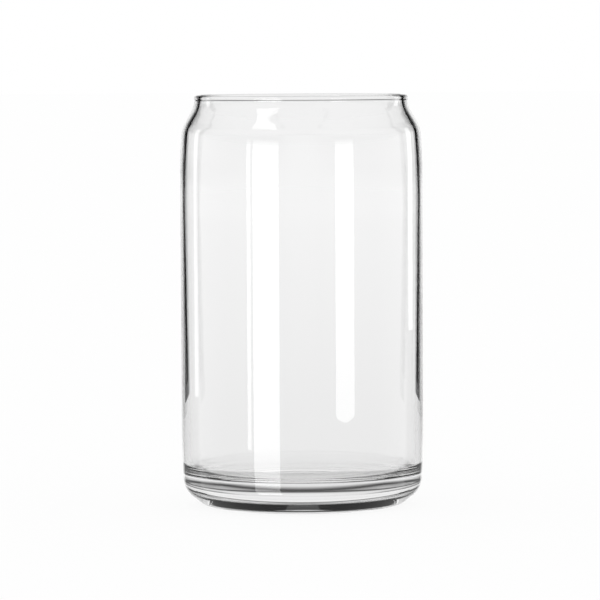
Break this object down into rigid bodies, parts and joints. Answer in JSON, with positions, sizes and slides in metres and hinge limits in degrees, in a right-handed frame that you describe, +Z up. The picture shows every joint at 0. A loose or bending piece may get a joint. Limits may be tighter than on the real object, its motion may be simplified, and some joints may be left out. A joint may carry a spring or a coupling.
{
  "type": "can shaped drinking glass",
  "caption": "Clear one-piece drinking glass shaped like a drinks can: straight body, short pulled-in shoulder, beaded rim, chamfered heel and thick base.",
  "frame": {"origin": "centre of the underside, on the plane that the foot ring stands on", "axes": "+Z up along the glass's axis of revolution, towards the open rim; X and Y are free because the glass is round"},
  "size_m": [0.0764, 0.0764, 0.1295],
  "materials": {
    "clear_glass": "clear, fire-polished"
  },
  "bodies": {
    "root": {"can_glass": "clear_glass"}
  },
  "joints": []
}
